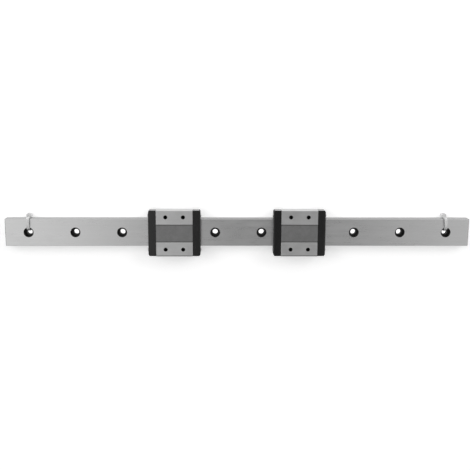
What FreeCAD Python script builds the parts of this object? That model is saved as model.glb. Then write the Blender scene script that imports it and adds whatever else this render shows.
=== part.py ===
"""Linear guide: one profile rail, two ball carriages and two nylon stop ties.

Frame: the origin is at the middle of the rail's base, X runs along the rail, Y across it and
Z up. Lengths are in millimetres. Each node is written to parts/ as one STEP file.
"""

import math
import os

import FreeCAD
import Part

Vector = FreeCAD.Vector
X_AXIS = Vector(1, 0, 0)
Z_AXIS = Vector(0, 0, 1)

# Rail
RAIL_LENGTH = 400.0
RAIL_WIDTH = 24.0
RAIL_HEIGHT = 8.5
RAIL_EDGE_CHAMFER = 0.5
RAIL_END_CHAMFER = 0.4
HOLE_COUNT = 10
HOLE_PITCH = 40.0
COUNTERBORE_RADIUS = 4.0
COUNTERBORE_DEPTH = 4.5
BOLT_HOLE_RADIUS = 2.25
HOLE_CHAMFER = 0.3

# Ball track: the row of balls sits half in the rail and half in the block
BALL_RADIUS = 1.19
TRACK_Y = 12.15
TRACK_Z = 5.9
RAIL_TRACK_RADIUS = 1.3
BLOCK_TRACK_RADIUS = 1.26
WIRE_SLOT_HALF_HEIGHT = 0.45
WIRE_SLOT_FLOOR_Y = 10.2
RETURN_Y = 16.05
RETURN_RADIUS = 1.3
BALLS_PER_CIRCUIT = 30

# Carriage block
BLOCK_LENGTH = 31.3
BLOCK_WIDTH = 40.0
BLOCK_TOP = 14.0
BLOCK_BOTTOM = 3.4
BLOCK_INNER_Y = 12.35
BLOCK_ROOF = 9.2
BLOCK_EDGE_CHAMFER = 0.45
BLOCK_END_CHAMFER = 0.4
CHANNEL_HALF_WIDTH = 7.7
CHANNEL_DEPTH = 0.5
CHANNEL_WALL_RUN = 0.6
BOLT_SPACING_X = 15.0
BOLT_SPACING_Y = 28.0
BOLT_RADIUS = 1.5
BOLT_DEPTH = 3.6
BOLT_COUNTERSINK = 0.25
DRILL_TIP = 0.6

# End caps, end seals and their screws
CAP_LENGTH = 5.7
CAP_HALF_WIDTH = 19.85
CAP_TOP = 13.6
CAP_BOTTOM = 3.7
CAP_INNER_Y = 12.5
CAP_ROOF = 9.3
CAP_EDGE_CHAMFER = 0.2
CORNER_CUT_Y = 1.7
CORNER_CUT_X = 0.65
SEAL_LENGTH = 0.95
SEAL_HALF_WIDTH = 19.5
SEAL_TOP = 13.3
SEAL_BOTTOM = 3.8
SEAL_LIP_GAP = 0.12
SEAL_LIP_LENGTH = 0.4
SEAL_BODY_GAP = 0.7
SCREW_Y = 15.0
SCREW_Z = 9.6
SCREW_RADIUS = 0.98
SCREW_HOLE_RADIUS = 1.0
SCREW_CLEARANCE_RADIUS = 1.15
SCREW_HEAD_RADIUS = 1.55
SCREW_HEAD_HEIGHT = 0.75
SCREW_BLOCK_DEPTH = 5.2
HEX_SOCKET_RADIUS = 0.72
HEX_SOCKET_DEPTH = 0.5
GREASE_RADIUS = 0.6
GREASE_Z = 11.5

# Return guides
GUIDE_RADIUS = 1.9
GUIDE_HALF_HEIGHT = 1.6
GUIDE_GAP = 0.05

# Retaining wires
WIRE_RADIUS = 0.25
WIRE_Y = 10.62
WIRE_BEND_RADIUS = 0.8
WIRE_REACH = 4.3
WIRE_TIP_Y = 13.8
WIRE_HOLE_RADIUS = 0.32

# Bottom seals
STRIP_INNER_Y = 12.12
STRIP_OUTER_Y = 14.4
STRIP_LOW_Z = 3.45
STRIP_HIGH_Z = 3.95
STRIP_RECESS_OUTER_Y = 14.5
STRIP_RECESS_Z = 4.0

# Stop ties
STRAP_WIDTH = 2.4
STRAP_THICKNESS = 0.8
STRAP_GAP = 0.05
STRAP_SIDE_GAP = 0.25
STRAP_ARCH_Z = 10.4
STRAP_HOLE_Y = 1.4
STRAP_BEND_RADII = [2.2, 5.9, 0.75, 0.95, 0.75]
TOOTH_PITCH = 0.8
TOOTH_DEPTH = 0.18
TIE_HEAD_WIDTH = 4.4
TIE_HEAD_OUTER_Y = 15.8
TIE_HEAD_CORNER_RADIUS = 1.2
TIE_HEAD_EDGE_RADIUS = 0.45
TIE_HEAD_TOP = 4.6
TIE_HEAD_BOTTOM = -0.6
WINDOW_Z = 1.5
WINDOW_GAP = 0.12
TAIL_TIP_Y = 16.05
LEFT_TIE_ANGLE = 0.5
RIGHT_TIE_ANGLE = 4.0

# Resting places of the two carriages along the rail
LEFT_REST_X = -54.9
RIGHT_REST_X = 52.4


def box(x0, x1, y0, y1, z0, z1):
    """A box between two corners."""
    return Part.makeBox(x1 - x0, y1 - y0, z1 - z0, Vector(x0, y0, z0))


def prism_x(points, x0, x1):
    """A closed outline of (y, z) corners, extruded along X."""
    corners = [Vector(x0, y, z) for y, z in points]
    face = Part.Face(Part.makePolygon(corners + corners[:1]))
    return face.extrude(Vector(x1 - x0, 0, 0))


def prism_z(points, z0, z1):
    """A closed outline of (x, y) corners, extruded along Z."""
    corners = [Vector(x, y, z0) for x, y in points]
    face = Part.Face(Part.makePolygon(corners + corners[:1]))
    return face.extrude(Vector(0, 0, z1 - z0))


def rod_x(radius, x0, x1, y, z):
    """A round bar along X."""
    return Part.makeCylinder(radius, x1 - x0, Vector(x0, y, z), X_AXIS)


def fuse(shapes):
    """All shapes joined into one, with seams between coplanar faces removed."""
    return shapes[0].multiFuse(shapes[1:]).removeSplitter()


def mirror_y(shape):
    return shape.mirror(Vector(0, 0, 0), Vector(0, 1, 0))


def mirror_x(shape):
    return shape.mirror(Vector(0, 0, 0), Vector(1, 0, 0))


def both_sides(shape):
    """The shape and its reflection across the rail's middle plane."""
    return [shape, mirror_y(shape)]


def chamfered_outline(half_width, bottom, top, low_chamfer, high_chamfer):
    """A rectangle in the YZ plane with its four corners cut at 45 degrees."""
    return [
        (-half_width + low_chamfer, bottom),
        (half_width - low_chamfer, bottom),
        (half_width, bottom + low_chamfer),
        (half_width, top - high_chamfer),
        (half_width - high_chamfer, top),
        (-half_width + high_chamfer, top),
        (-half_width, top - high_chamfer),
        (-half_width, bottom + low_chamfer),
    ]


# Rail -----------------------------------------------------------------------------------


def rail_hole_cutter(x):
    """Counterbore and bolt hole at x, with a chamfered rim at the top and the base."""
    floor = RAIL_HEIGHT - COUNTERBORE_DEPTH
    rim_overshoot = 0.2
    counterbore = Part.makeCylinder(
        COUNTERBORE_RADIUS, COUNTERBORE_DEPTH + 1.0, Vector(x, 0, floor)
    )
    bolt_hole = Part.makeCylinder(BOLT_HOLE_RADIUS, RAIL_HEIGHT + 1.0, Vector(x, 0, -0.5))
    top_rim = Part.makeCone(
        COUNTERBORE_RADIUS,
        COUNTERBORE_RADIUS + HOLE_CHAMFER + rim_overshoot,
        HOLE_CHAMFER + rim_overshoot,
        Vector(x, 0, RAIL_HEIGHT - HOLE_CHAMFER),
    )
    base_rim = Part.makeCone(
        BOLT_HOLE_RADIUS + HOLE_CHAMFER + rim_overshoot,
        BOLT_HOLE_RADIUS,
        HOLE_CHAMFER + rim_overshoot,
        Vector(x, 0, -rim_overshoot),
    )
    return counterbore.multiFuse([bolt_hole, top_rim, base_rim])


def rail_end_trimmer():
    """The block of space that the chamfered rail ends stay inside."""
    half = RAIL_LENGTH / 2
    c = RAIL_END_CHAMFER
    side = RAIL_WIDTH / 2
    plan = prism_z(
        [
            (-half + c, -side),
            (half - c, -side),
            (half, -side + c),
            (half, side - c),
            (half - c, side),
            (-half + c, side),
            (-half, side - c),
            (-half, -side + c),
        ],
        0,
        RAIL_HEIGHT,
    )
    corners = [
        (-half + c, 0),
        (half - c, 0),
        (half, c),
        (half, RAIL_HEIGHT - c),
        (half - c, RAIL_HEIGHT),
        (-half + c, RAIL_HEIGHT),
        (-half, RAIL_HEIGHT - c),
        (-half, c),
    ]
    points = [Vector(x, -side, z) for x, z in corners]
    face = Part.Face(Part.makePolygon(points + points[:1]))
    elevation = face.extrude(Vector(0, RAIL_WIDTH, 0))
    return plan.common(elevation)


def make_rail():
    half = RAIL_LENGTH / 2
    outline = chamfered_outline(
        RAIL_WIDTH / 2, 0, RAIL_HEIGHT, RAIL_EDGE_CHAMFER, RAIL_EDGE_CHAMFER
    )
    rail = prism_x(outline, -half, half)
    track = rod_x(RAIL_TRACK_RADIUS, -half - 1, half + 1, TRACK_Y, TRACK_Z)
    slot = box(
        -half - 1,
        half + 1,
        WIRE_SLOT_FLOOR_Y,
        TRACK_Y,
        TRACK_Z - WIRE_SLOT_HALF_HEIGHT,
        TRACK_Z + WIRE_SLOT_HALF_HEIGHT,
    )
    cutters = both_sides(track) + both_sides(slot)
    first_hole = -HOLE_PITCH * (HOLE_COUNT - 1) / 2
    cutters += [rail_hole_cutter(first_hole + HOLE_PITCH * i) for i in range(HOLE_COUNT)]
    return rail.common(rail_end_trimmer()).cut(cutters).removeSplitter()


# Carriage, built with its middle at X = 0 --------------------------------------------------


def make_block():
    half = BLOCK_LENGTH / 2
    side = BLOCK_WIDTH / 2
    c = BLOCK_EDGE_CHAMFER
    floor = BLOCK_TOP - CHANNEL_DEPTH
    roof_fillet = 0.6
    outline = [
        (-side + c, BLOCK_BOTTOM),
        (-BLOCK_INNER_Y, BLOCK_BOTTOM),
        (-BLOCK_INNER_Y, BLOCK_ROOF - roof_fillet),
        (-BLOCK_INNER_Y + roof_fillet, BLOCK_ROOF),
        (BLOCK_INNER_Y - roof_fillet, BLOCK_ROOF),
        (BLOCK_INNER_Y, BLOCK_ROOF - roof_fillet),
        (BLOCK_INNER_Y, BLOCK_BOTTOM),
        (side - c, BLOCK_BOTTOM),
        (side, BLOCK_BOTTOM + c),
        (side, BLOCK_TOP - c),
        (side - c, BLOCK_TOP),
        (CHANNEL_HALF_WIDTH, BLOCK_TOP),
        (CHANNEL_HALF_WIDTH - CHANNEL_WALL_RUN, floor),
        (-CHANNEL_HALF_WIDTH + CHANNEL_WALL_RUN, floor),
        (-CHANNEL_HALF_WIDTH, BLOCK_TOP),
        (-side + c, BLOCK_TOP),
        (-side, BLOCK_TOP - c),
        (-side, BLOCK_BOTTOM + c),
    ]
    block = prism_x(outline, -half, half)
    end = BLOCK_END_CHAMFER
    corners = [
        (-half, BLOCK_BOTTOM),
        (half, BLOCK_BOTTOM),
        (half, BLOCK_TOP - end),
        (half - end, BLOCK_TOP),
        (-half + end, BLOCK_TOP),
        (-half, BLOCK_TOP - end),
    ]
    points = [Vector(x, -side, z) for x, z in corners]
    bevel = Part.Face(Part.makePolygon(points + points[:1])).extrude(
        Vector(0, BLOCK_WIDTH, 0)
    )
    track = rod_x(BLOCK_TRACK_RADIUS, -half - 1, half + 1, TRACK_Y, TRACK_Z)
    tunnel = rod_x(RETURN_RADIUS, -half - 1, half + 1, RETURN_Y, TRACK_Z)
    recess = box(
        -half - 1,
        half + 1,
        BLOCK_INNER_Y - 1,
        STRIP_RECESS_OUTER_Y,
        BLOCK_BOTTOM - 1,
        STRIP_RECESS_Z,
    )
    cutters = both_sides(track) + both_sides(tunnel) + both_sides(recess)
    for x in (-BOLT_SPACING_X / 2, BOLT_SPACING_X / 2):
        for y in (-BOLT_SPACING_Y / 2, BOLT_SPACING_Y / 2):
            hole = Part.makeCylinder(
                BOLT_RADIUS, BOLT_DEPTH + 1, Vector(x, y, BLOCK_TOP - BOLT_DEPTH)
            )
            tip = Part.makeCone(
                0, BOLT_RADIUS, DRILL_TIP, Vector(x, y, BLOCK_TOP - BOLT_DEPTH - DRILL_TIP)
            )
            rim = Part.makeCone(
                BOLT_RADIUS,
                BOLT_RADIUS + 2 * BOLT_COUNTERSINK,
                2 * BOLT_COUNTERSINK,
                Vector(x, y, BLOCK_TOP - BOLT_COUNTERSINK),
            )
            cutters.append(fuse([hole, tip, rim]))
    inner_end = half - SCREW_BLOCK_DEPTH - DRILL_TIP
    screw_hole = rod_x(SCREW_HOLE_RADIUS, inner_end, half + 1, SCREW_Y, SCREW_Z)
    for shape in both_sides(screw_hole):
        cutters += [shape, mirror_x(shape)]
    return block.common(bevel).cut(cutters).removeSplitter()


def end_outline(half_width, bottom, top, chamfer, inner_y, roof):
    """A U-shaped plate outline that straddles the rail, as (y, z) corners."""
    return [
        (-half_width + chamfer, bottom),
        (-inner_y, bottom),
        (-inner_y, roof),
        (inner_y, roof),
        (inner_y, bottom),
        (half_width - chamfer, bottom),
        (half_width, bottom + chamfer),
        (half_width, top - chamfer),
        (half_width - chamfer, top),
        (-half_width + chamfer, top),
        (-half_width, top - chamfer),
        (-half_width, bottom + chamfer),
    ]


def corner_trimmer(x0, x_out):
    """The plan shape of a carriage end: its outer corners are cut back at a shallow angle."""
    wide = CAP_HALF_WIDTH
    cut_y = wide - CORNER_CUT_Y
    return prism_z(
        [
            (x0, -wide),
            (x_out - CORNER_CUT_X, -wide),
            (x_out, -cut_y),
            (x_out, cut_y),
            (x_out - CORNER_CUT_X, wide),
            (x0, wide),
        ],
        0,
        BLOCK_TOP,
    )


def ball_turn(x_face):
    """The round tube that a ball follows from the track to the return tunnel."""
    middle = (TRACK_Y + RETURN_Y) / 2
    return Part.makeTorus(
        (RETURN_Y - TRACK_Y) / 2, RETURN_RADIUS, Vector(x_face, middle, TRACK_Z), Z_AXIS
    )


def wire_path(x_face):
    """Centre line of one retaining wire, bent outwards into both end caps."""
    bend_x = x_face + WIRE_REACH
    r = WIRE_BEND_RADIUS
    diagonal = r * (1 - math.sqrt(0.5))
    edges = []
    for sign in (-1, 1):
        inner = Vector(sign * (bend_x - r), WIRE_Y, TRACK_Z)
        middle = Vector(sign * (bend_x - diagonal), WIRE_Y + diagonal, TRACK_Z)
        outer = Vector(sign * bend_x, WIRE_Y + r, TRACK_Z)
        tip = Vector(sign * bend_x, WIRE_TIP_Y, TRACK_Z)
        edges.append([Part.Arc(inner, middle, outer).toShape(), Part.makeLine(outer, tip)])
    left, right = edges
    straight = Part.makeLine(
        Vector(-(bend_x - r), WIRE_Y, TRACK_Z), Vector(bend_x - r, WIRE_Y, TRACK_Z)
    )
    return Part.Wire(Part.__sortEdges__(left + [straight] + right))


def tube_along(path, radius):
    """A round bar swept along a wire that starts at one of its free ends."""
    first = path.OrderedEdges[0]
    start = path.OrderedVertexes[0].Point
    other = path.OrderedVertexes[1].Point
    direction = other.sub(start) if first.Curve.TypeId == "Part::GeomLine" else X_AXIS
    ring = Part.Wire([Part.makeCircle(radius, start, direction)])
    return path.makePipeShell([ring], True, False)


def make_wire():
    return tube_along(wire_path(BLOCK_LENGTH / 2), WIRE_RADIUS)


def make_end_cap():
    """The end cap on the +X side of the block."""
    x0 = BLOCK_LENGTH / 2
    x1 = x0 + CAP_LENGTH
    outline = end_outline(
        CAP_HALF_WIDTH, CAP_BOTTOM, CAP_TOP, CAP_EDGE_CHAMFER, CAP_INNER_Y, CAP_ROOF
    )
    cap = prism_x(outline, x0, x1).common(corner_trimmer(x0, x1 + SEAL_LENGTH))
    middle = (TRACK_Y + RETURN_Y) / 2
    pocket = Part.makeCylinder(
        GUIDE_RADIUS + GUIDE_GAP,
        2 * (GUIDE_HALF_HEIGHT + GUIDE_GAP),
        Vector(x0, middle, TRACK_Z - GUIDE_HALF_HEIGHT - GUIDE_GAP),
    )
    track_mouth = box(
        x0 - 1,
        x0 + 0.01,
        CAP_INNER_Y - 1,
        TRACK_Y + RETURN_RADIUS,
        TRACK_Z - RETURN_RADIUS,
        TRACK_Z + RETURN_RADIUS,
    )
    wire_bore = tube_along(wire_path(x0), WIRE_HOLE_RADIUS)
    screw_hole = rod_x(SCREW_CLEARANCE_RADIUS, x0 - 1, x1 + 1, SCREW_Y, SCREW_Z)
    cutters = []
    for shape in (pocket, ball_turn(x0), track_mouth, wire_bore, screw_hole):
        cutters += both_sides(shape)
    cutters.append(rod_x(GREASE_RADIUS, x0 - 1, x1 + 1, 0, GREASE_Z))
    return cap.cut(cutters).removeSplitter()


def rail_shadow(gap, x0, x1):
    """The rail's section grown by a gap, as a solid between two X positions."""
    side = RAIL_WIDTH / 2 + gap
    top = RAIL_HEIGHT + gap
    c = RAIL_EDGE_CHAMFER
    outline = [
        (-side, 0),
        (side, 0),
        (side, top - c),
        (side - c, top),
        (-side + c, top),
        (-side, top - c),
    ]
    return prism_x(outline, x0, x1)


def make_end_seal():
    """The end seal on the +X side: a rubber plate with a thin lip that follows the rail."""
    x0 = BLOCK_LENGTH / 2 + CAP_LENGTH
    x1 = x0 + SEAL_LENGTH
    solid_outline = chamfered_outline(
        SEAL_HALF_WIDTH, SEAL_BOTTOM, SEAL_TOP, CAP_EDGE_CHAMFER, CAP_EDGE_CHAMFER
    )
    plate = prism_x(solid_outline, x0, x1).common(corner_trimmer(x0, x1))
    lip_x0 = x0 + (SEAL_LENGTH - SEAL_LIP_LENGTH) / 2
    lip = plate.common(box(lip_x0, lip_x0 + SEAL_LIP_LENGTH, -15, 15, 0, 10.5))
    body = plate.cut(rail_shadow(SEAL_BODY_GAP, x0 - 1, x1 + 1))
    nose_radius = RAIL_TRACK_RADIUS - SEAL_LIP_GAP - 0.06
    nose = rod_x(nose_radius, lip_x0, lip_x0 + SEAL_LIP_LENGTH, TRACK_Y, TRACK_Z)
    lip = lip.cut(rail_shadow(SEAL_LIP_GAP, x0 - 1, x1 + 1))
    seal = fuse([body, lip] + both_sides(nose))
    screw_hole = rod_x(SCREW_CLEARANCE_RADIUS, x0 - 1, x1 + 1, SCREW_Y, SCREW_Z)
    grease = rod_x(GREASE_RADIUS, x0 - 1, x1 + 1, 0, GREASE_Z)
    wire_slot = box(
        x0 - 1,
        x1 + 1,
        WIRE_Y - WIRE_RADIUS - 0.1,
        WIRE_Y + WIRE_RADIUS,
        TRACK_Z - WIRE_HOLE_RADIUS,
        TRACK_Z + WIRE_HOLE_RADIUS,
    )
    return seal.cut(both_sides(screw_hole) + both_sides(wire_slot) + [grease])


def make_end_screw():
    """One end screw on the +X, +Y corner, with a hex socket in its low round head."""
    seat = BLOCK_LENGTH / 2 + CAP_LENGTH + SEAL_LENGTH
    shank = rod_x(SCREW_RADIUS, BLOCK_LENGTH / 2 - SCREW_BLOCK_DEPTH, seat, SCREW_Y, SCREW_Z)
    crown = SCREW_HEAD_HEIGHT * 0.45
    head = rod_x(SCREW_HEAD_RADIUS, seat, seat + SCREW_HEAD_HEIGHT - crown, SCREW_Y, SCREW_Z)
    dome = Part.makeCone(
        SCREW_HEAD_RADIUS,
        SCREW_HEAD_RADIUS - crown,
        crown,
        Vector(seat + SCREW_HEAD_HEIGHT - crown, SCREW_Y, SCREW_Z),
        X_AXIS,
    )
    outer = seat + SCREW_HEAD_HEIGHT
    corners = []
    for i in range(6):
        angle = math.radians(60 * i)
        corners.append(
            (
                SCREW_Y + HEX_SOCKET_RADIUS * math.cos(angle),
                SCREW_Z + HEX_SOCKET_RADIUS * math.sin(angle),
            )
        )
    socket = prism_x(corners, outer - HEX_SOCKET_DEPTH, outer + 1)
    return fuse([shank, head, dome]).cut(socket)


def make_return_guide():
    """The half spool on the +X, +Y corner that forms the inner wall of the ball turn."""
    x0 = BLOCK_LENGTH / 2
    middle = (TRACK_Y + RETURN_Y) / 2
    spool = Part.makeCylinder(
        GUIDE_RADIUS,
        2 * GUIDE_HALF_HEIGHT,
        Vector(x0, middle, TRACK_Z - GUIDE_HALF_HEIGHT),
    )
    keep = box(x0, x0 + 5, middle - 5, middle + 5, 0, BLOCK_TOP)
    return spool.common(keep).cut(ball_turn(x0))


def circuit_point(distance):
    """The place on the ball circuit at a distance from the start of the loaded track."""
    half = BLOCK_LENGTH / 2
    turn_radius = (RETURN_Y - TRACK_Y) / 2
    turn_length = math.pi * turn_radius
    middle = (TRACK_Y + RETURN_Y) / 2
    if distance < BLOCK_LENGTH:
        return Vector(-half + distance, TRACK_Y, TRACK_Z)
    distance -= BLOCK_LENGTH
    if distance < turn_length:
        angle = distance / turn_radius
        return Vector(
            half + turn_radius * math.sin(angle),
            middle - turn_radius * math.cos(angle),
            TRACK_Z,
        )
    distance -= turn_length
    if distance < BLOCK_LENGTH:
        return Vector(half - distance, RETURN_Y, TRACK_Z)
    angle = (distance - BLOCK_LENGTH) / turn_radius
    return Vector(
        -half - turn_radius * math.sin(angle),
        middle + turn_radius * math.cos(angle),
        TRACK_Z,
    )


def make_balls():
    """The balls of the +Y circuit, evenly spaced round their loop."""
    loop = 2 * BLOCK_LENGTH + math.pi * (RETURN_Y - TRACK_Y)
    pitch = loop / BALLS_PER_CIRCUIT
    places = [circuit_point(pitch * (i + 0.5)) for i in range(BALLS_PER_CIRCUIT)]
    return Part.makeCompound([Part.makeSphere(BALL_RADIUS, place) for place in places])


def make_bottom_seal():
    """The strip under the +Y leg: a flat plate with a bevelled lip towards the rail."""
    half = BLOCK_LENGTH / 2
    outline = [
        (STRIP_INNER_Y + 0.25, STRIP_LOW_Z),
        (STRIP_OUTER_Y, STRIP_LOW_Z),
        (STRIP_OUTER_Y, STRIP_HIGH_Z),
        (STRIP_INNER_Y, STRIP_HIGH_Z),
        (STRIP_INNER_Y, STRIP_HIGH_Z - 0.2),
    ]
    return prism_x(outline, -half, half)


def carriage_pieces(outer, inner):
    """Every piece of one carriage by name; outer is the name of its -X end, inner of +X."""
    cap = make_end_cap()
    seal = make_end_seal()
    screws = Part.makeCompound(both_sides(make_end_screw()))
    guide = make_return_guide()
    pieces = {
        "block": make_block(),
        f"end_cap_{inner}": cap,
        f"end_cap_{outer}": mirror_x(cap),
        f"end_seal_{inner}": seal,
        f"end_seal_{outer}": mirror_x(seal),
        f"end_screws_{inner}": screws,
        f"end_screws_{outer}": mirror_x(screws),
        f"return_guide_{inner}_back": guide,
        f"return_guide_{inner}_front": mirror_y(guide),
        f"return_guide_{outer}_back": mirror_x(guide),
        f"return_guide_{outer}_front": mirror_x(mirror_y(guide)),
    }
    paired = {
        "balls": make_balls(),
        "retaining_wire": make_wire(),
        "bottom_seal": make_bottom_seal(),
    }
    for name, shape in paired.items():
        pieces[f"{name}_back"] = shape
        pieces[f"{name}_front"] = mirror_y(shape)
    return pieces


# Stop ties, built with the bolt hole at X = 0 ----------------------------------------------


def ribbon(corners, radii, half_thickness, x0, x1):
    """A strap of constant thickness that follows a cornered path in the YZ plane.

    Each inner corner is rounded on the centre line by its own radius. The two long faces
    are offsets of that line, so every bend is made of arcs about one centre.
    """
    points = [Vector(x0, y, z) for y, z in corners]
    plus, minus = [], []
    start = points[0]
    for i in range(1, len(points)):
        heading = (points[i] - points[i - 1]).normalize()
        normal = Vector(0, -heading.z, heading.y)
        last = i == len(points) - 1
        if last:
            stop = points[i]
        else:
            after = (points[i + 1] - points[i]).normalize()
            turn = math.acos(max(-1.0, min(1.0, heading.dot(after))))
            stop = points[i] - heading * (radii[i - 1] * math.tan(turn / 2))
        for side, edges in ((1, plus), (-1, minus)):
            shift = normal * (side * half_thickness)
            edges.append(Part.makeLine(start + shift, stop + shift))
        if last:
            break
        left_turn = heading.y * after.z - heading.z * after.y > 0
        bend = 1 if left_turn else -1
        centre = stop + normal * (bend * radii[i - 1])
        after_normal = Vector(0, -after.z, after.y)
        start = points[i] + after * (radii[i - 1] * math.tan(turn / 2))
        bisector = (normal + after_normal).normalize() * -bend
        for side, edges in ((1, plus), (-1, minus)):
            r = radii[i - 1] - side * bend * half_thickness
            begin = stop + normal * (side * half_thickness)
            end = start + after_normal * (side * half_thickness)
            edges.append(Part.Arc(begin, centre + bisector * r, end).toShape())
    first_cap = Part.makeLine(plus[0].Vertexes[0].Point, minus[0].Vertexes[0].Point)
    last_cap = Part.makeLine(plus[-1].Vertexes[-1].Point, minus[-1].Vertexes[-1].Point)
    outline = Part.Wire(Part.__sortEdges__(plus + minus + [first_cap, last_cap]))
    return Part.Face(outline).extrude(Vector(x1 - x0, 0, 0))


def strap_corners():
    """Centre line of the strap from the head, arched over the rail, down the hole and back."""
    half = STRAP_THICKNESS / 2
    beside = RAIL_WIDTH / 2 + STRAP_SIDE_GAP + half
    below = -STRAP_GAP - half
    return [
        (beside, TIE_HEAD_TOP - 0.5),
        (beside, STRAP_ARCH_Z),
        (STRAP_HOLE_Y, STRAP_ARCH_Z),
        (STRAP_HOLE_Y, below),
        (beside, below),
        (beside, WINDOW_Z),
        (TAIL_TIP_Y, WINDOW_Z),
    ]


def tie_teeth(x0, x1):
    """Notches across the strap's rail side, along the underside run and the tail."""
    notches = []
    top = -STRAP_GAP
    y = STRAP_HOLE_Y + 2.0
    while y < RAIL_WIDTH / 2 - 1.5:
        notches.append(
            prism_x(
                [(y, top), (y + TOOTH_PITCH * 0.6, top), (y, top - TOOTH_DEPTH)], x0, x1
            )
        )
        y += TOOTH_PITCH
    top = WINDOW_Z + STRAP_THICKNESS / 2
    y = RAIL_WIDTH / 2 + 1.7
    while y < TAIL_TIP_Y - TOOTH_PITCH * 0.6:
        notches.append(
            prism_x(
                [(y, top), (y + TOOTH_PITCH * 0.6, top), (y, top - TOOTH_DEPTH)], x0, x1
            )
        )
        y += TOOTH_PITCH
    return notches


def make_tie_head():
    """The moulded head: a rounded box with a window for the tail and a locking pawl."""
    half = TIE_HEAD_WIDTH / 2
    inner = RAIL_WIDTH / 2 + STRAP_SIDE_GAP
    lip_y = inner + STRAP_THICKNESS + 0.2
    strap_top = WINDOW_Z + STRAP_THICKNESS / 2
    window_low = WINDOW_Z - STRAP_THICKNESS / 2 - WINDOW_GAP
    window_high = strap_top + 0.8
    shell = prism_x(
        [
            (lip_y, TIE_HEAD_BOTTOM),
            (TIE_HEAD_OUTER_Y, TIE_HEAD_BOTTOM),
            (TIE_HEAD_OUTER_Y, TIE_HEAD_TOP),
            (inner, TIE_HEAD_TOP),
            (inner, strap_top + 0.2),
            (lip_y, strap_top + 0.2),
        ],
        -half,
        half,
    )
    corners = []
    for edge in shell.Edges:
        ends = [vertex.Point for vertex in edge.Vertexes]
        at_front = all(abs(point.y - TIE_HEAD_OUTER_Y) < 1e-6 for point in ends)
        if at_front and abs(ends[0].z - ends[1].z) > 1:
            corners.append(edge)
    shell = shell.makeFillet(TIE_HEAD_CORNER_RADIUS, corners)
    rims = []
    for edge in shell.Edges:
        middle = edge.valueAt((edge.FirstParameter + edge.LastParameter) / 2)
        level = min(abs(middle.z - TIE_HEAD_TOP), abs(middle.z - TIE_HEAD_BOTTOM)) < 1e-6
        if level and middle.y > lip_y + 0.1:
            rims.append(edge)
    shell = shell.makeFillet(TIE_HEAD_EDGE_RADIUS, rims)
    opening = STRAP_WIDTH / 2 + WINDOW_GAP
    window = box(-opening, opening, inner - 1, TIE_HEAD_OUTER_Y + 1, window_low, window_high)
    pawl = prism_x(
        [
            (inner + 1.35, window_high + 0.1),
            (inner + 1.95, window_high + 0.1),
            (TIE_HEAD_OUTER_Y - 0.5, strap_top + 0.45),
            (TIE_HEAD_OUTER_Y - 0.5, strap_top + 0.05),
            (TIE_HEAD_OUTER_Y - 1.0, strap_top + 0.05),
        ],
        -opening + 0.15,
        opening - 0.15,
    )
    return shell.cut(window).fuse(pawl)


def make_tie():
    half = STRAP_WIDTH / 2
    strap = ribbon(
        strap_corners(),
        STRAP_BEND_RADII,
        STRAP_THICKNESS / 2,
        -half,
        half,
    )
    strap = strap.cut(tie_teeth(-half + 0.3, half - 0.3))
    return strap.fuse(make_tie_head()).removeSplitter()


# Assembly -------------------------------------------------------------------------------


def shifted(shape, x):
    moved = shape.copy()
    moved.translate(Vector(x, 0, 0))
    return moved


def turned(shape, angle):
    """The shape turned about the vertical axis of its own bolt hole, in degrees."""
    moved = shape.copy()
    moved.rotate(Vector(0, 0, 0), Z_AXIS, angle)
    return moved


def all_nodes():
    last_hole = HOLE_PITCH * (HOLE_COUNT - 1) / 2
    tie = make_tie()
    nodes = {
        "rail": make_rail(),
        "left_stop_tie": shifted(turned(tie, LEFT_TIE_ANGLE), -last_hole),
        "right_stop_tie": shifted(turned(tie, RIGHT_TIE_ANGLE), last_hole),
    }
    left = carriage_pieces("outboard", "inboard")
    right = carriage_pieces("inboard", "outboard")
    for name, shape in left.items():
        nodes[f"left_carriage_{name}"] = shifted(shape, LEFT_REST_X)
    for name, shape in right.items():
        nodes[f"right_carriage_{name}"] = shifted(shape, RIGHT_REST_X)
    return nodes


def main():
    os.makedirs("parts", exist_ok=True)
    for name, shape in all_nodes().items():
        solids = shape.Solids
        volume = sum(solid.Volume for solid in solids)
        good = all(solid.isValid() for solid in solids)
        print(f"{name}: {len(solids)} solids, {volume:.1f} mm3, valid {good}")
        result = solids[0] if len(solids) == 1 else Part.makeCompound(solids)
        result.exportStep(f"parts/{name}.step")


main()
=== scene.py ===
import math

import bpy
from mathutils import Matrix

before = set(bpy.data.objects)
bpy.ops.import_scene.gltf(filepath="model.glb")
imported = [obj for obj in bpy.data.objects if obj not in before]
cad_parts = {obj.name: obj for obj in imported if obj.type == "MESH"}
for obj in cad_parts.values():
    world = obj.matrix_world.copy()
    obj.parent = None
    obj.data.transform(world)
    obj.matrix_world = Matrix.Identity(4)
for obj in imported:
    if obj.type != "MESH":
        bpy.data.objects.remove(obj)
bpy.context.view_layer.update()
scene = bpy.context.scene
scene.view_settings.view_transform = "Standard"

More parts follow.
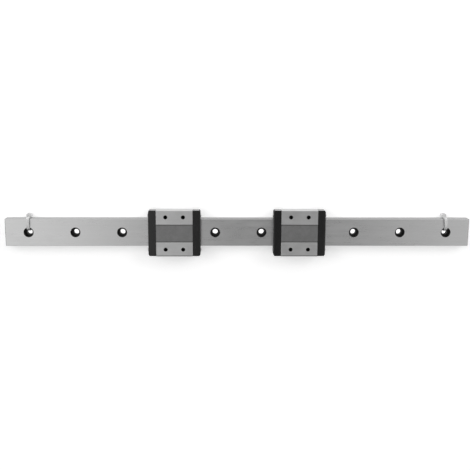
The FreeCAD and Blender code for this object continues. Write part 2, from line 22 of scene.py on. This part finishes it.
# Rest places of the carriages and the sizes that the materials follow, in metres
CARRIAGE_X = {"left": -0.0549, "right": 0.0524}
RAIL_TOP = 0.0085
RAIL_HALF_LENGTH = 0.200
RAIL_HALF_WIDTH = 0.012
RAIL_BEVEL = 0.0005
RAIL_END_BEVEL = 0.0004
HOLE_ZONE_HALF_WIDTH = 0.0047
TRACK_ZONE_Y = (0.0099, 0.0119)
TRACK_ZONE_Z = (0.0044, 0.0074)
BLOCK_TOP = 0.014
BLOCK_HALF_WIDTH = 0.020
BLOCK_BEVEL = 0.00045
CHANNEL_HALF_WIDTH = 0.0077
CHANNEL_WALL_RUN = 0.0006
CHANNEL_FLOOR = 0.0135
TAPPED_X = 0.0075
TAPPED_Y = 0.014
TAPPED_ZONE_RADIUS = 0.0021
TAPPED_ZONE_BOTTOM = 0.0096
THREAD_HALF_PITCH = 0.00025
SKIN = 0.00002

# The floor lies just under the lowest tie strap
FLOOR_Z = -0.00097
FLOOR_HALF_SIZE = 12.0
# Half sizes of the painted light strip, a brighter glow in the floor under the rail
GLOW_HALF_WIDTH = 0.007
GLOW_HALF_LENGTH = 0.196

# Strength of the high sky against a direction's X (0 is -X, 1 is +X)
SKY_ACROSS = [
    (0.0, 0.9),
    (0.35, 0.95),
    (0.385, 1.68),
    (0.42, 0.81),
    (0.47, 0.26),
    (0.53, 0.10),
    (0.58, 0.155),
    (0.66, 0.90),
    (1.0, 1.0),
]
# The high sky takes over from the low one between these heights of a direction
SKY_HIGH_FROM = 0.70
SKY_HIGH_TO = 0.92
# The low sky brightens from its first strength at -Y to its second at +Y
SKY_LOW_REACH = 0.8
SKY_LOW_STRENGTHS = (0.30, 1.0)

# Both key lights stand on the +Y side and aim at the middle of the rail
KEY_PLACES = {"left": (-2.0, 0.85, 1.7), "right": (2.0, 1.4, 1.7)}
KEY_SIZE = 1.2
KEY_POWER = 14.0


def add_camera():
    """A near-overhead view, leaning a little from the +Y side and from the rail's left half."""
    data = bpy.data.cameras.new("camera")
    data.sensor_width = 36.0
    data.lens = 57.56
    camera = bpy.data.objects.new("camera", data)
    scene.collection.objects.link(camera)
    camera.location = (-0.01667, 0.11609, 0.64634)
    camera.rotation_euler = (math.radians(-10.512), math.radians(-1.196), math.radians(0.232))
    scene.camera = camera


class Graph:
    """A short way to write a node material around one Principled shader."""

    def __init__(self, name):
        self.material = bpy.data.materials.new(name)
        self.material.use_nodes = True
        self.tree = self.material.node_tree
        self.shader = self.tree.nodes["Principled BSDF"]
        self.place = self.add("ShaderNodeTexCoord").outputs["Object"]
        axes = self.add("ShaderNodeSeparateXYZ")
        self.tree.links.new(self.place, axes.inputs[0])
        self.x, self.y, self.z = axes.outputs

    def add(self, kind, **settings):
        node = self.tree.nodes.new(kind)
        for key, value in settings.items():
            setattr(node, key, value)
        return node

    def feed(self, socket, value):
        if isinstance(value, bpy.types.NodeSocket):
            self.tree.links.new(value, socket)
        else:
            socket.default_value = value

    def math(self, operation, a, b=0.0, c=0.0, clamp=False):
        node = self.add("ShaderNodeMath", operation=operation, use_clamp=clamp)
        for socket, value in zip(node.inputs, (a, b, c)):
            self.feed(socket, value)
        return node.outputs[0]

    def ramp(self, value, low, high, out_low=0.0, out_high=1.0, smooth=True):
        node = self.add("ShaderNodeMapRange")
        node.interpolation_type = "SMOOTHSTEP" if smooth else "LINEAR"
        for socket, item in zip(node.inputs, (value, low, high, out_low, out_high)):
            self.feed(socket, item)
        return node.outputs[0]

    def below(self, value, edge, soft=1e-5):
        """1 where the value is under the edge, 0 above it."""
        return self.ramp(value, edge - soft, edge + soft, 1.0, 0.0)

    def above(self, value, edge, soft=1e-5):
        """0 where the value is under the edge, 1 above it."""
        return self.ramp(value, edge - soft, edge + soft, 0.0, 1.0)

    def both(self, *masks):
        """1 where every mask is 1."""
        total = masks[0]
        for mask in masks[1:]:
            total = self.math("MULTIPLY", total, mask)
        return total

    def stretched(self, scale_x, scale_y, scale_z, shift=(0.0, 0.0, 0.0)):
        """The object position with each axis scaled, so a pattern can run along one of them."""
        node = self.add("ShaderNodeMapping", vector_type="POINT")
        self.tree.links.new(self.place, node.inputs["Vector"])
        node.inputs["Scale"].default_value = (scale_x, scale_y, scale_z)
        node.inputs["Location"].default_value = shift
        return node.outputs[0]

    def noise(self, vector, scale=1.0, detail=3.0, roughness=0.55, distortion=0.0):
        node = self.add("ShaderNodeTexNoise")
        self.tree.links.new(vector, node.inputs["Vector"])
        node.inputs["Scale"].default_value = scale
        node.inputs["Detail"].default_value = detail
        node.inputs["Roughness"].default_value = roughness
        node.inputs["Distortion"].default_value = distortion
        return node.outputs["Fac"]

    def cells(self, vector, scale):
        node = self.add("ShaderNodeTexVoronoi", feature="F1")
        self.tree.links.new(vector, node.inputs["Vector"])
        node.inputs["Scale"].default_value = scale
        return node.outputs["Distance"]

    def mix(self, factor, a, b):
        """A number that goes from a to b."""
        node = self.add("ShaderNodeMix", data_type="FLOAT")
        self.feed(node.inputs[0], factor)
        self.feed(node.inputs[2], a)
        self.feed(node.inputs[3], b)
        return node.outputs[0]

    def grey(self, value, tint=(1.0, 1.0, 1.0)):
        """A colour from one brightness value."""
        node = self.add("ShaderNodeCombineColor")
        for socket, part in zip(node.inputs, tint):
            self.feed(socket, self.math("MULTIPLY", value, part))
        return node.outputs[0]

    def bump(self, height, distance, strength=1.0, normal=None):
        node = self.add("ShaderNodeBump")
        node.inputs["Strength"].default_value = strength
        node.inputs["Distance"].default_value = distance
        self.tree.links.new(height, node.inputs["Height"])
        if normal is not None:
            self.tree.links.new(normal, node.inputs["Normal"])
        return node.outputs[0]

    def finish(self, colour, roughness, normal=None, **sockets):
        self.feed(self.shader.inputs["Base Color"], colour)
        self.feed(self.shader.inputs["Roughness"], roughness)
        if normal is not None:
            self.tree.links.new(normal, self.shader.inputs["Normal"])
        for key, value in sockets.items():
            self.feed(self.shader.inputs[key.replace("_", " ")], value)
        return self.material


def grinding(g, line_scale=2600.0, along=18.0):
    """Fine lines and soft streaks left along X by a grinding wheel: (lines, streaks)."""
    lines = g.noise(g.stretched(along, line_scale, line_scale), detail=4.0, roughness=0.65)
    streaks = g.noise(g.stretched(9.0, 420.0, 420.0, (3.1, 0.7, 1.9)), detail=3.0)
    return lines, streaks


def make_rail_steel():
    g = Graph("rail_steel_ground")
    lines, streaks = grinding(g)
    side = g.math("ABSOLUTE", g.y)
    along = g.math("ABSOLUTE", g.x)
    end = g.above(along, RAIL_HALF_LENGTH - 0.00015)
    hole = g.both(
        g.below(side, HOLE_ZONE_HALF_WIDTH),
        g.below(g.z, RAIL_TOP - SKIN),
        g.above(g.z, SKIN),
        g.math("SUBTRACT", 1.0, end),
    )
    track = g.both(
        g.above(side, TRACK_ZONE_Y[0]),
        g.below(side, TRACK_ZONE_Y[1]),
        g.above(g.z, TRACK_ZONE_Z[0]),
        g.below(g.z, TRACK_ZONE_Z[1]),
    )
    # Painted shade: the rail's end bevels are darkened to hold down the bright reflection they catch.
    end_bevel_painted_shade = g.both(
        g.above(along, RAIL_HALF_LENGTH - RAIL_END_BEVEL - SKIN),
        g.above(g.z, RAIL_TOP - RAIL_END_BEVEL - SKIN),
    )
    # Painted shade: the long top bevels are darkened to tone down the bright floor they reflect.
    edge_bevel_painted_shade = g.both(
        g.above(side, RAIL_HALF_WIDTH - RAIL_BEVEL),
        g.above(g.z, RAIL_TOP - RAIL_BEVEL - SKIN),
        g.below(g.z, RAIL_TOP - SKIN / 2),
    )
    cloud = g.noise(g.stretched(55.0, 160.0, 160.0), detail=4.0, roughness=0.6)
    stain = g.ramp(g.noise(g.stretched(38.0, 90.0, 90.0, (7.0, 2.0, 0.0)), detail=5.0), 0.56, 0.72)
    shade = g.math("MULTIPLY_ADD", lines, 0.09, 0.565)
    shade = g.math("MULTIPLY_ADD", streaks, 0.05, shade)
    shade = g.math("MULTIPLY_ADD", cloud, 0.05, shade)
    shade = g.math("SUBTRACT", shade, g.math("MULTIPLY", stain, 0.025))
    turned = g.noise(g.stretched(500.0, 500.0, 5200.0), detail=3.0)
    # Painted shade: the bore walls and their rim bevels get a near-black tone that stands in for the
    # shade inside the holes.
    bore_painted_shade = g.math("MULTIPLY_ADD", turned, 0.05, 0.03)
    shade = g.mix(end_bevel_painted_shade, shade, 0.30)
    shade = g.mix(edge_bevel_painted_shade, shade, 0.51)
    shade = g.mix(track, shade, 0.52)
    shade = g.mix(hole, shade, bore_painted_shade)
    rough = g.math("MULTIPLY_ADD", lines, 0.10, 0.20)
    rough = g.math("MULTIPLY_ADD", cloud, 0.08, rough)
    rough = g.mix(track, rough, 0.16)
    rough = g.mix(end, rough, 0.46)
    rough = g.mix(hole, rough, 0.5)
    height = g.mix(hole, g.math("MULTIPLY_ADD", streaks, 0.6, lines), turned)
    normal = g.bump(height, 0.000004)
    g.shader.inputs["Specular Tint"].default_value = (0.62, 0.62, 0.62, 1.0)
    return g.finish(g.grey(shade), rough, normal, Metallic=1.0)


def make_block_steel(side_name):
    """Ground pads and sides, a dark unground channel, painted shade on the -Y bevel, the flat beside it
    and the channel walls, and rings and painted shade in the tapped holes.
    """
    g = Graph(f"block_steel_{side_name}")
    middle = CARRIAGE_X[side_name]
    lines, streaks = grinding(g, 2400.0, 26.0)
    side = g.math("ABSOLUTE", g.y)
    along = g.math("ABSOLUTE", g.math("SUBTRACT", g.x, middle))
    channel = g.both(
        g.below(side, CHANNEL_HALF_WIDTH + SKIN * 1.5),
        g.above(g.z, CHANNEL_FLOOR - SKIN * 10),
        g.below(g.z, BLOCK_TOP - SKIN),
    )
    # Painted shadow: the channel walls get a near-black tone that stands for the shadow the step casts
    # along the channel edge.
    wall_painted_shadow = g.both(
        channel,
        g.above(side, CHANNEL_HALF_WIDTH - CHANNEL_WALL_RUN),
        g.above(g.z, CHANNEL_FLOOR + SKIN),
    )
    # Painted shade: the -Y top bevel is made near-black so it does not show the bright floor it
    # reflects.
    bevel_painted_shade = g.both(
        g.below(g.y, BLOCK_BEVEL - BLOCK_HALF_WIDTH),
        g.above(g.z, BLOCK_TOP - BLOCK_BEVEL),
        g.below(g.z, BLOCK_TOP - SKIN / 2),
    )
    from_x = g.math("ABSOLUTE", g.math("SUBTRACT", along, TAPPED_X))
    from_y = g.math("ABSOLUTE", g.math("SUBTRACT", side, TAPPED_Y))
    tapped = g.both(
        g.below(from_x, TAPPED_ZONE_RADIUS),
        g.below(from_y, TAPPED_ZONE_RADIUS),
        g.above(g.z, TAPPED_ZONE_BOTTOM),
        g.below(g.z, BLOCK_TOP - SKIN),
    )
    cloud = g.noise(g.stretched(120.0, 190.0, 190.0, (0.0, 4.0, 0.0)), detail=4.0)
    scale = g.noise(g.stretched(620.0, 620.0, 620.0), detail=6.0, roughness=0.7)
    scale_broad = g.noise(g.stretched(150.0, 150.0, 150.0, (2.0, 9.0, 0.0)), detail=3.0)
    shade = g.math("MULTIPLY_ADD", lines, 0.09, 0.56)
    shade = g.math("MULTIPLY_ADD", streaks, 0.06, shade)
    shade = g.math("MULTIPLY_ADD", cloud, 0.06, shade)
    channel_shade = g.math("MULTIPLY_ADD", scale, 0.10, 0.145)
    channel_shade = g.math("MULTIPLY_ADD", scale_broad, 0.08, channel_shade)
    shade = g.mix(channel, shade, channel_shade)
    shade = g.mix(wall_painted_shadow, shade, 0.07)
    # Painted shade: the top flat darkens towards the -Y edge; no rolled edge is modelled.
    edge_painted_shade = g.ramp(g.y, 0.0004 - BLOCK_HALF_WIDTH, 0.0012 - BLOCK_HALF_WIDTH, 0.40, 1.0)
    shade = g.math("MULTIPLY", shade, edge_painted_shade)
    shade = g.mix(bevel_painted_shade, shade, 0.08)
    # Painted shade: the insides of the tapped holes are near-black, standing in for the shade in them.
    shade = g.mix(tapped, shade, 0.012)
    rough = g.math("MULTIPLY_ADD", lines, 0.10, 0.22)
    rough = g.math("MULTIPLY_ADD", cloud, 0.10, rough)
    rough = g.mix(channel, rough, g.math("MULTIPLY_ADD", scale, 0.2, 0.42))
    rough = g.mix(tapped, rough, 0.6)
    thread = g.math("PINGPONG", g.z, THREAD_HALF_PITCH)
    height = g.mix(channel, g.math("MULTIPLY_ADD", streaks, 0.6, lines), scale)
    normal = g.bump(height, 0.000005)
    normal = g.bump(g.math("MULTIPLY", tapped, thread), 1.0, 1.0, normal)
    g.shader.inputs["Specular Tint"].default_value = (0.82, 0.82, 0.82, 1.0)
    return g.finish(g.grey(shade), rough, normal, Metallic=1.0)


def make_black_plastic():
    g = Graph("black_plastic_moulded")
    grain = g.cells(g.place, 5200.0)
    speck = g.noise(g.place, 3600.0, 4.0, 0.7)
    flow = g.noise(g.stretched(160.0, 60.0, 220.0), detail=3.0, distortion=0.6)
    scrapes = g.noise(g.stretched(900.0, 240.0, 900.0, (5.0, 0.0, 1.0)), detail=5.0)
    scuff = g.ramp(scrapes, 0.62, 0.76)
    shade = g.math("MULTIPLY_ADD", flow, 0.006, 0.002)
    shade = g.math("MULTIPLY_ADD", speck, 0.004, shade)
    shade = g.math("MULTIPLY_ADD", scuff, 0.010, shade)
    rough = g.math("MULTIPLY_ADD", flow, 0.12, 0.12)
    rough = g.math("MULTIPLY_ADD", scuff, 0.15, rough)
    height = g.math("MULTIPLY_ADD", speck, 0.5, grain)
    normal = g.bump(height, 0.000003)
    return g.finish(g.grey(shade), rough, normal, IOR=1.5, Coat_Weight=0.35, Coat_Roughness=0.06)


def make_rubber():
    g = Graph("seal_rubber_matte")
    grain = g.noise(g.place, 4200.0, 5.0, 0.75)
    bloom = g.ramp(g.noise(g.place, 420.0, 4.0), 0.45, 0.75)
    shade = g.math("MULTIPLY_ADD", grain, 0.006, 0.007)
    shade = g.math("MULTIPLY_ADD", bloom, 0.008, shade)
    rough = g.math("MULTIPLY_ADD", bloom, 0.15, 0.55)
    return g.finish(g.grey(shade), rough, g.bump(grain, 0.000012), IOR=1.48)


def make_bright_steel(name, shade, rough, scale, depth):
    """Bright steel with fine marks: screws, balls and drawn wire."""
    g = Graph(name)
    marks = g.noise(g.place, scale, 4.0, 0.6)
    cloud = g.noise(g.place, scale / 9.0, 3.0)
    tone = g.math("MULTIPLY_ADD", marks, 0.10, shade)
    tone = g.math("MULTIPLY_ADD", cloud, 0.06, tone)
    roughness = g.math("MULTIPLY_ADD", cloud, 0.10, rough)
    return g.finish(g.grey(tone), roughness, g.bump(marks, depth), Metallic=1.0)


def make_pale_plastic():
    g = Graph("guide_plastic_moulded")
    flow = g.noise(g.place, 900.0, 3.0, 0.6, 0.8)
    speck = g.noise(g.place, 5200.0, 4.0)
    shade = g.math("MULTIPLY_ADD", flow, 0.08, 0.62)
    rough = g.math("MULTIPLY_ADD", speck, 0.15, 0.38)
    return g.finish(g.grey(shade), rough, g.bump(speck, 0.000008), IOR=1.5)


def make_nylon():
    """Natural nylon: milky and slightly see-through, with faint flow marks."""
    g = Graph("tie_nylon_natural")
    flow = g.noise(g.stretched(700.0, 260.0, 260.0), detail=3.0, distortion=0.7)
    speck = g.noise(g.place, 4000.0, 3.0)
    shade = g.math("MULTIPLY_ADD", flow, 0.08, 0.64)
    # Painted shade: the strap is darkened where it runs down into the rail's hole.
    strap_in_hole_painted_shade = g.both(
        g.below(g.y, 0.0042, soft=0.0006),
        g.below(g.z, RAIL_TOP + 0.0003, soft=0.0006),
        g.above(g.z, 0.0),
    )
    shade = g.mix(strap_in_hole_painted_shade, shade, 0.22)
    rough = g.math("MULTIPLY_ADD", speck, 0.15, 0.25)
    g.shader.inputs["Subsurface Radius"].default_value = (1.0, 1.0, 1.0)
    return g.finish(
        g.grey(shade),
        rough,
        g.bump(g.math("MULTIPLY_ADD", flow, 2.0, speck), 0.000012),
        Subsurface_Weight=0.5,
        Subsurface_Scale=0.0006,
        Transmission_Weight=0.08,
        IOR=1.53,
    )


def dress_nodes():
    """Gives every CAD node its material."""
    rubber = make_rubber()
    plastic = make_black_plastic()
    nylon = make_nylon()
    screw = make_bright_steel("screw_steel_turned", 0.50, 0.24, 3000.0, 0.000006)
    ball = make_bright_steel("ball_steel_polished", 0.52, 0.06, 900.0, 0.000001)
    wire = make_bright_steel("wire_steel_drawn", 0.46, 0.26, 2600.0, 0.000004)
    pale = make_pale_plastic()
    by_word = {
        "stop_tie": nylon,
        "end_cap": plastic,
        "end_seal": rubber,
        "bottom_seal": rubber,
        "end_screws": screw,
        "balls": ball,
        "retaining_wire": wire,
        "return_guide": pale,
        "left_carriage_block": make_block_steel("left"),
        "right_carriage_block": make_block_steel("right"),
    }
    rail = make_rail_steel()
    for name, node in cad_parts.items():
        material = rail
        for word, choice in by_word.items():
            if word in name:
                material = choice
        node.data.materials.clear()
        node.data.materials.append(material)


def add_floor():
    """A pale light table under the rail, with a painted glowing strip beneath the rail so it stays
    bright seen through the bolt holes.
    """
    mesh = bpy.data.meshes.new("floor")
    half = FLOOR_HALF_SIZE
    corners = [(x, y, FLOOR_Z) for x, y in ((-half, -half), (half, -half), (half, half), (-half, half))]
    mesh.from_pydata(corners, [], [(0, 1, 2, 3)])
    floor = bpy.data.objects.new("floor", mesh)
    scene.collection.objects.link(floor)
    g = Graph("floor_pale")
    paper = g.noise(g.place, 90.0, 3.0)
    shade = g.math("MULTIPLY_ADD", paper, 0.01, 0.80)
    material = g.finish(g.grey(shade), 0.9)
    # Painted light: a brighter glowing strip under the rail, seen only through the bolt holes.
    painted_light_strip = g.both(
        g.below(g.math("ABSOLUTE", g.y), GLOW_HALF_WIDTH),
        g.below(g.math("ABSOLUTE", g.x), GLOW_HALF_LENGTH),
    )
    glow = g.math("MULTIPLY_ADD", painted_light_strip, 0.57, 0.39)
    g.shader.inputs["Emission Color"].default_value = (1.0, 1.0, 1.0, 1.0)
    g.feed(g.shader.inputs["Emission Strength"], glow)
    g.shader.inputs["Specular IOR Level"].default_value = 0.1
    mesh.materials.append(material)


def add_key(side, place):
    """A square area light that faces the middle of the rail."""
    data = bpy.data.lights.new("key_" + side, "AREA")
    data.shape = "RECTANGLE"
    data.size = KEY_SIZE
    data.size_y = KEY_SIZE
    data.energy = KEY_POWER
    light = bpy.data.objects.new("key_" + side, data)
    scene.collection.objects.link(light)
    light.location = place
    x, y, z = place
    tilt = -math.atan2(math.hypot(x, y), z)
    light.rotation_euler = (0.0, tilt, math.atan2(-y, -x))


def add_sky():
    """Soft light all round: dim overhead, brighter towards the rail's ends and, low down, towards +Y."""
    world = bpy.data.worlds.new("studio")
    scene.world = world
    world.use_nodes = True
    tree = world.node_tree
    nodes, links = tree.nodes, tree.links
    background = nodes["Background"]
    background.inputs["Color"].default_value = (1.0, 1.0, 1.0, 1.0)
    place = nodes.new("ShaderNodeTexCoord")
    axes = nodes.new("ShaderNodeSeparateXYZ")
    links.new(place.outputs["Generated"], axes.inputs[0])

    shift = nodes.new("ShaderNodeMath")
    shift.operation = "MULTIPLY_ADD"
    links.new(axes.outputs[0], shift.inputs[0])
    shift.inputs[1].default_value = 0.5
    shift.inputs[2].default_value = 0.5
    across = nodes.new("ShaderNodeValToRGB")
    links.new(shift.outputs[0], across.inputs[0])
    ramp = across.color_ramp
    ramp.interpolation = "B_SPLINE"
    while len(ramp.elements) < len(SKY_ACROSS):
        ramp.elements.new(0.5)
    for element, (position, value) in zip(ramp.elements, SKY_ACROSS):
        element.position = position
        element.color = (value, value, value, 1.0)

    high = nodes.new("ShaderNodeMapRange")
    high.interpolation_type = "SMOOTHSTEP"
    links.new(axes.outputs[2], high.inputs[0])
    high.inputs[1].default_value = SKY_HIGH_FROM
    high.inputs[2].default_value = SKY_HIGH_TO

    low = nodes.new("ShaderNodeMapRange")
    links.new(axes.outputs[1], low.inputs[0])
    low.inputs[1].default_value = -SKY_LOW_REACH
    low.inputs[2].default_value = SKY_LOW_REACH
    low.inputs[3].default_value = SKY_LOW_STRENGTHS[0]
    low.inputs[4].default_value = SKY_LOW_STRENGTHS[1]

    blend = nodes.new("ShaderNodeMix")
    blend.data_type = "FLOAT"
    links.new(high.outputs[0], blend.inputs[0])
    links.new(low.outputs[0], blend.inputs[2])
    links.new(across.outputs[0], blend.inputs[3])
    links.new(blend.outputs[0], background.inputs["Strength"])


add_camera()
dress_nodes()
add_floor()
add_sky()
for key_side, key_place in KEY_PLACES.items():
    add_key(key_side, key_place)
